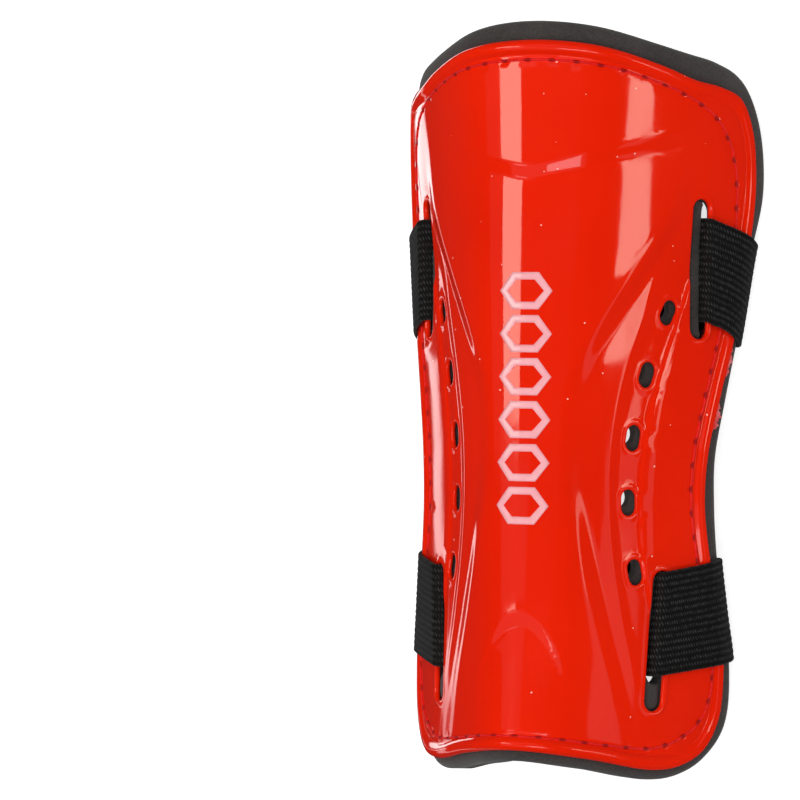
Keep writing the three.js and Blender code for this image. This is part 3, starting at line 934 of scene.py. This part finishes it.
class Nodes:
    """Short ways to add nodes to a tree. A setting is a number, a colour or another node's output."""

    def __init__(self, tree):
        self.tree = tree

    def fill(self, socket, value):
        if isinstance(value, bpy.types.NodeSocket):
            self.tree.links.new(value, socket)
        else:
            socket.default_value = value

    def node(self, kind, settings=None, **inputs):
        node = self.tree.nodes.new(kind)
        for key, value in (settings or {}).items():
            setattr(node, key, value)
        for key, value in inputs.items():
            self.fill(node.inputs[key.replace("_", " ")], value)
        return node

    def math(self, operation, *values):
        node = self.node("ShaderNodeMath", dict(operation=operation))
        for socket, value in zip(node.inputs, values):
            self.fill(socket, value)
        return node.outputs[0]

    def ranged(self, value, low, high, at_low, at_high):
        """Value taken from one range to another, and held at its ends."""
        limits = dict(From_Min=low, From_Max=high, To_Min=at_low, To_Max=at_high)
        return self.node("ShaderNodeMapRange", Value=value, **limits).outputs["Result"]


class Paint(Nodes):
    """A material with a Principled shader."""

    def __init__(self, name, **sockets):
        self.material = bpy.data.materials.new(name)
        self.material.use_nodes = True
        super().__init__(self.material.node_tree)
        self.shader = self.tree.nodes["Principled BSDF"]
        for socket, value in sockets.items():
            self.shader.inputs[socket.replace("_", " ")].default_value = value

    def place(self):
        """Position on the object, in metres."""
        return self.node("ShaderNodeTexCoord").outputs["Object"]

    def noise(self, scale, detail=2.0, roughness=0.5):
        settings = dict(Scale=scale, Detail=detail, Roughness=roughness)
        return self.node("ShaderNodeTexNoise", Vector=self.place(), **settings).outputs["Fac"]

    def ramp(self, value, *stops):
        node = self.node("ShaderNodeValToRGB", Fac=value)
        elements = node.color_ramp.elements
        while len(elements) < len(stops):
            elements.new(0.5)
        for element, (position, colour) in zip(elements, stops):
            element.position = position
            element.color = colour
        return node.outputs["Color"]

    def mix(self, share, first, second):
        """Colour between two colours."""
        node = self.node("ShaderNodeMix", dict(data_type="RGBA"))
        sockets = {socket.identifier: socket for socket in node.inputs}
        for name, value in (("Factor_Float", share), ("A_Color", first), ("B_Color", second)):
            self.fill(sockets[name], value)
        return next(socket for socket in node.outputs if socket.identifier == "Result_Color")

    def link(self, value, socket):
        self.tree.links.new(value, self.shader.inputs[socket])

    def bump(self, height, distance, strength=1.0, normal=None):
        node = self.node("ShaderNodeBump", Height=height, Distance=distance, Strength=strength)
        if normal is not None:
            self.tree.links.new(normal, node.inputs["Normal"])
        return node.outputs["Normal"]


def grey(value):
    return (value, value, value, 1.0)


# Dust specks on the plastic: cells to the metre, radius in cells, share of the cells that hold one
SPECKS = dict(scale=260.0, radius=0.07, share=0.22)


def shell_paint():
    paint = Paint("gloss_red_plastic", IOR=1.5)
    tone = paint.noise(18.0, 3.0)
    red = paint.ramp(tone, (0.3, linear(232, 30, 3)), (0.7, linear(242, 35, 4)))
    cells = paint.node("ShaderNodeTexVoronoi", Vector=paint.place(), Scale=SPECKS["scale"], Randomness=1.0)
    chance = paint.node("ShaderNodeSeparateColor", Color=cells.outputs["Color"]).outputs[0]
    near = paint.math("LESS_THAN", cells.outputs["Distance"], SPECKS["radius"])
    speck = paint.math("MULTIPLY", near, paint.math("LESS_THAN", chance, SPECKS["share"]))
    paint.link(paint.mix(speck, red, linear(255, 190, 176)), "Base Color")
    smear = paint.ramp(paint.noise(45.0, 4.0), (0.35, grey(0.045)), (0.75, grey(0.09)))
    paint.link(smear, "Roughness")
    wave = paint.bump(paint.noise(55.0, 1.0), 0.00006)
    paint.link(paint.bump(paint.noise(420.0, 2.0), 0.000004, normal=wave), "Normal")
    return paint.material


def foam_paint():
    paint = Paint("dark_grey_foam", Roughness=0.92, IOR=1.45, Sheen_Weight=0.1, Sheen_Roughness=0.6)
    grain = paint.noise(1500.0, 3.0, 0.7)
    patches = paint.noise(60.0, 3.0)
    blend = paint.math("ADD", paint.math("MULTIPLY", grain, 0.65), paint.math("MULTIPLY", patches, 0.35))
    paint.link(paint.ramp(blend, (0.3, linear(40, 37, 36)), (0.7, linear(70, 66, 64))), "Base Color")
    paint.link(paint.bump(grain, 0.0002, 0.6), "Normal")
    return paint.material


def strap_paint():
    """Knitted elastic: every rib is a row of small slanted loops, painted lighter on their crowns and darker
    in the gaps between them: painted highlight and painted shade on black yarn.
    """
    paint = Paint("black_elastic", Roughness=0.75, IOR=1.45, Sheen_Weight=0.04, Sheen_Roughness=0.4)
    knit = paint.node("ShaderNodeAttribute", dict(attribute_name="knit")).outputs["Vector"]
    parts = paint.node("ShaderNodeSeparateXYZ", Vector=knit)
    ribs = paint.math("MULTIPLY", parts.outputs["Y"], STRAP_RIBS / STRAP_WIDTH)
    rib = paint.math("FRACT", paint.math("ADD", ribs, 0.5))
    row = paint.math("ADD", paint.math("MULTIPLY", parts.outputs["X"], 1 / KNIT_PITCH), rib)
    loop = paint.math("MULTIPLY_ADD", paint.math("SINE", paint.math("MULTIPLY", row, 2 * math.pi)), 0.5, 0.5)
    crown = paint.math("SINE", paint.math("MULTIPLY", rib, math.pi))
    height = paint.math("MULTIPLY", loop, crown)
    fuzz = paint.noise(2600.0, 2.0)
    uneven = paint.ranged(paint.noise(850.0, 1.0), 0.3, 0.7, 0.5, 1.0)
    loops = paint.math("MULTIPLY", height, uneven)
    shade = paint.math("ADD", paint.math("MULTIPLY", loops, 0.8), paint.math("MULTIPLY", fuzz, 0.2))
    # Painted highlight: grey on the loops' crowns; painted shade: near black in the gaps between them.
    black, dark, loop_highlight = linear(2, 2, 2), linear(11, 11, 11), linear(72, 72, 74)
    paint.link(paint.ramp(shade, (0.15, black), (0.42, dark), (0.85, loop_highlight)), "Base Color")
    paint.link(paint.bump(shade, 0.00025, 0.8), "Normal")
    return paint.material


def thread_paint():
    paint = Paint("crimson_thread", Roughness=0.6, Specular_IOR_Level=0.25)
    tone = paint.noise(1200.0, 2.0)
    thread = paint.ramp(tone, (0.3, linear(214, 16, 20)), (0.75, linear(240, 34, 32)))
    # Painted shade: the thread turns darker crimson where it dips into each stitch hole.
    hole_shade = paint.node("ShaderNodeAttribute", dict(attribute_name="hole_shade")).outputs["Fac"]
    paint.link(paint.mix(paint.ranged(hole_shade, 0.2, 0.8, 0, 1), thread, linear(160, 4, 10)), "Base Color")
    paint.link(paint.bump(tone, 0.0001, 0.6), "Normal")
    return paint.material


def print_paint():
    paint = Paint("pale_pink_print", IOR=1.5)
    tone = paint.noise(300.0, 3.0)
    paint.link(paint.ramp(tone, (0.3, linear(250, 168, 176)), (0.7, linear(255, 184, 190))), "Base Color")
    paint.link(paint.ramp(paint.noise(45.0, 4.0), (0.35, grey(0.1)), (0.75, grey(0.18))), "Roughness")
    paint.link(paint.bump(paint.noise(55.0, 1.0), 0.00006), "Normal")
    return paint.material


def flash_paint():
    paint = Paint("red_flash_with_painted_reflection", IOR=1.5)
    tone = paint.noise(420.0, 3.0)
    # Pale pink: partly the flash's own thin plastic, partly a painted reflection along the shell's edge.
    paint.link(paint.ramp(tone, (0.3, linear(222, 60, 66)), (0.7, linear(240, 120, 122))), "Base Color")
    paint.link(paint.ramp(tone, (0.3, grey(0.25)), (0.7, grey(0.5))), "Roughness")
    paint.link(paint.bump(tone, 0.0003, 0.8), "Normal")
    return paint.material


# Object

SHELL_PAINT = shell_paint()
STRAP_PAINT = strap_paint()

shell = shell_piece(SHELL_PAINT)
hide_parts("shell")

foam = foam_piece(foam_paint())
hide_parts("foam_pad")

straps = [strap_piece(strap, STRAP_PAINT) for strap in STRAPS]
for piece, strap in zip(straps, STRAPS):
    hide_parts(strap["node"])

thread = thread_piece(thread_paint())
printed = print_piece(print_paint())
flash = flash_piece(flash_paint())

for piece in (shell, foam, *straps, thread, printed, flash):
    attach(piece, "root")


# Stage

FLOOR_HALF = 4.0
WHITE = (1.0, 1.0, 1.0)
WARM = (1.0, 0.99, 0.82)

# Soft lights aimed at the guard. Azimuth is the way that a light leans to and tilt its angle from straight
# above, in degrees. Its width lies in the way that it leans and its length across that, in metres. The last
# two say if it is warm and if the gloss mirrors it.
LIGHT_COLUMNS = "name azimuth tilt distance width length radiance aim_across aim_along warm mirrored"
LIGHTS = (
    ("key_strip", 180, 35.5, 1.0, 0.39, 0.16, 5.5, 0, 0.08, True, True),
    ("key_fringe", 180, 55.5, 1.0, 0.28, 0.2, 0.14, 0, 0.08, False, True),
    ("key_low", 180, 30, 1.0, 0.77, 0.12, 0.2, 0, -0.065, False, True),
    ("key_tail", 180, 28, 1.0, 0.28, 0.08, 2.0, 0, -0.165, False, True),
    ("side_strip", 0, 73.9, 1.0, 0.106, 0.125, 5.1, 0, 0.0775, True, True),
    ("side_wide", 0, 78.6, 1.0, 0.06, 0.052, 5.1, 0, 0.079, True, True),
    ("side_leaf", 0, 80.6, 1.0, 0.128, 0.034, 4.4, 0, 0.03, True, True),
    ("side_patch", 0, 80.6, 1.0, 0.075, 0.075, 2.1, 0, -0.0225, True, True),
    ("side_upper", 0, 75, 1.0, 0.42, 0.26, 0.3, 0, 0.28, False, True),
    ("side_glow", 0, 79.7, 1.0, 0.19, 0.22, 0.42, 0, -0.17, False, True),
    ("ankle_strip", -90, 25.5, 1.0, 0.23, 0.7, 3.2, 0.47, 0, False, True),
    ("ankle_glow", -90, 28, 1.1, 0.7, 2.0, 0.3, 0.05, 0, False, True),
    ("knee_glow", 90, 16, 1.0, 0.28, 1.6, 0.3, 0, 0, False, True),
    ("overhead", 0, 0, 1.3, 1.8, 1.8, 1.85, 0, 0.15, False, False),
)

# Pale streak that the gloss mirrors low on the left. Each row takes one range to another. Ankle, waist and
# knee add up to its height for a way along the guard, half is its half width and strength its light. Edge
# softens its border and side keeps it on the left.
STREAK = dict(
    ankle=(-0.067, -0.035, -0.5, -0.537),
    waist=(-0.014, 0.016, 0, -0.036),
    knee=(0.02, 0.036, 0, -0.13),
    half=(0.02, 0.036, 0.025, 0.075),
    strength=(-0.067, -0.045, 1.4, 2.6),
    edge=(0.8, 1.2, 1, 0),
    side=(-0.5, -0.3, 1, 0),
)
DIM_LIGHT = 0.03


def floor_paint():
    paint = Paint("white_floor", Roughness=0.9, Emission_Strength=0.75, Emission_Color=grey(1.0))
    paint.link(paint.ramp(paint.noise(6.0, 2.0), (0.3, grey(0.6)), (0.7, grey(0.62))), "Base Color")
    return paint.material


def make_floor():
    mesh = bpy.data.meshes.new("studio_floor")
    corners = [(x * FLOOR_HALF, y * FLOOR_HALF, 0) for x, y in ((-1, -1), (1, -1), (1, 1), (-1, 1))]
    mesh.from_pydata(corners, [], [(0, 1, 2, 3)])
    mesh.materials.append(floor_paint())
    floor = bpy.data.objects.new("studio_floor", mesh)
    floor.visible_glossy = False
    bpy.context.scene.collection.objects.link(floor)


def make_light(row):
    data = bpy.data.lights.new(row["name"], "AREA")
    data.shape = "RECTANGLE"
    data.size, data.size_y = row["width"], row["length"]
    data.energy = row["radiance"] * math.pi * row["width"] * row["length"]
    data.color = WARM if row["warm"] else WHITE
    light = bpy.data.objects.new(data.name, data)
    azimuth = Matrix.Rotation(math.radians(row["azimuth"]), 4, "Z")
    tilt = Matrix.Rotation(math.radians(row["tilt"]), 4, "Y")
    middle = Matrix.Translation((row["aim_across"], row["aim_along"], RIDGE_HEIGHT * MM))
    light.matrix_world = middle @ (azimuth @ tilt) @ Matrix.Translation((0, 0, row["distance"]))
    light.visible_camera = False
    light.visible_glossy = row["mirrored"]
    bpy.context.scene.collection.objects.link(light)


def make_world():
    """What the gloss mirrors beside the lights: dim all round, with the pale streak on the left."""
    world = bpy.data.worlds.new("studio")
    bpy.context.scene.world = world
    world.use_nodes = True
    nodes = Nodes(world.node_tree)
    way = nodes.node("ShaderNodeSeparateXYZ", Vector=nodes.node("ShaderNodeTexCoord").outputs["Generated"])
    across, along, up = (way.outputs[axis] for axis in "XYZ")
    parts = ("ankle", "waist", "knee", "half", "strength")
    ankle, waist, knee, half, strength = (nodes.ranged(along, *STREAK[part]) for part in parts)
    middle = nodes.math("ADD", ankle, nodes.math("ADD", waist, knee))
    away = nodes.math("DIVIDE", nodes.math("ABSOLUTE", nodes.math("SUBTRACT", up, middle)), half)
    edge, side = nodes.ranged(away, *STREAK["edge"]), nodes.ranged(across, *STREAK["side"])
    light = nodes.math("MULTIPLY_ADD", nodes.math("MULTIPLY", edge, side), strength, DIM_LIGHT)
    background = nodes.tree.nodes["Background"]
    nodes.fill(background.inputs["Strength"], light)
    nodes.fill(background.inputs["Color"], grey(1.0))


# Camera: turned about the guard's length, tipped and rolled a little, at a distance
VIEW_YAW = math.radians(20.42)
VIEW_PITCH = math.radians(-0.69)
VIEW_ROLL = math.radians(1.16)
VIEW_TILT = 0.006
VIEW_SHIFT = Vector((34.63, 0.92, -3.88))
VIEW_DISTANCE = 900.0
LENS = 145.8
SENSOR = 36.0


def make_camera():
    yaw = Matrix.Rotation(-VIEW_YAW, 3, "Y")
    pitch = Matrix.Rotation(VIEW_PITCH, 3, "X")
    roll = Matrix.Rotation(-VIEW_ROLL, 3, "Z")
    turn = (roll @ pitch @ yaw).transposed()
    tilt = Matrix.Rotation(VIEW_TILT, 3, "X")
    aim = Vector((0, MID_LENGTH, RIDGE_HEIGHT))
    place = tilt @ (turn @ (Vector((0, 0, VIEW_DISTANCE)) - VIEW_SHIFT)) + aim
    data = bpy.data.cameras.new("camera")
    data.lens = LENS
    data.sensor_width = SENSOR
    data.clip_start = 0.01
    camera = bpy.data.objects.new("camera", data)
    camera.matrix_world = Matrix.Translation(place * MM) @ (tilt @ turn).to_4x4()
    bpy.context.scene.collection.objects.link(camera)
    bpy.context.scene.camera = camera


make_floor()
make_world()
for row in LIGHTS:
    make_light(dict(zip(LIGHT_COLUMNS.split(), row)))
make_camera()
bpy.context.scene.view_settings.view_transform = "Standard"

bpy.context.view_layer.update()
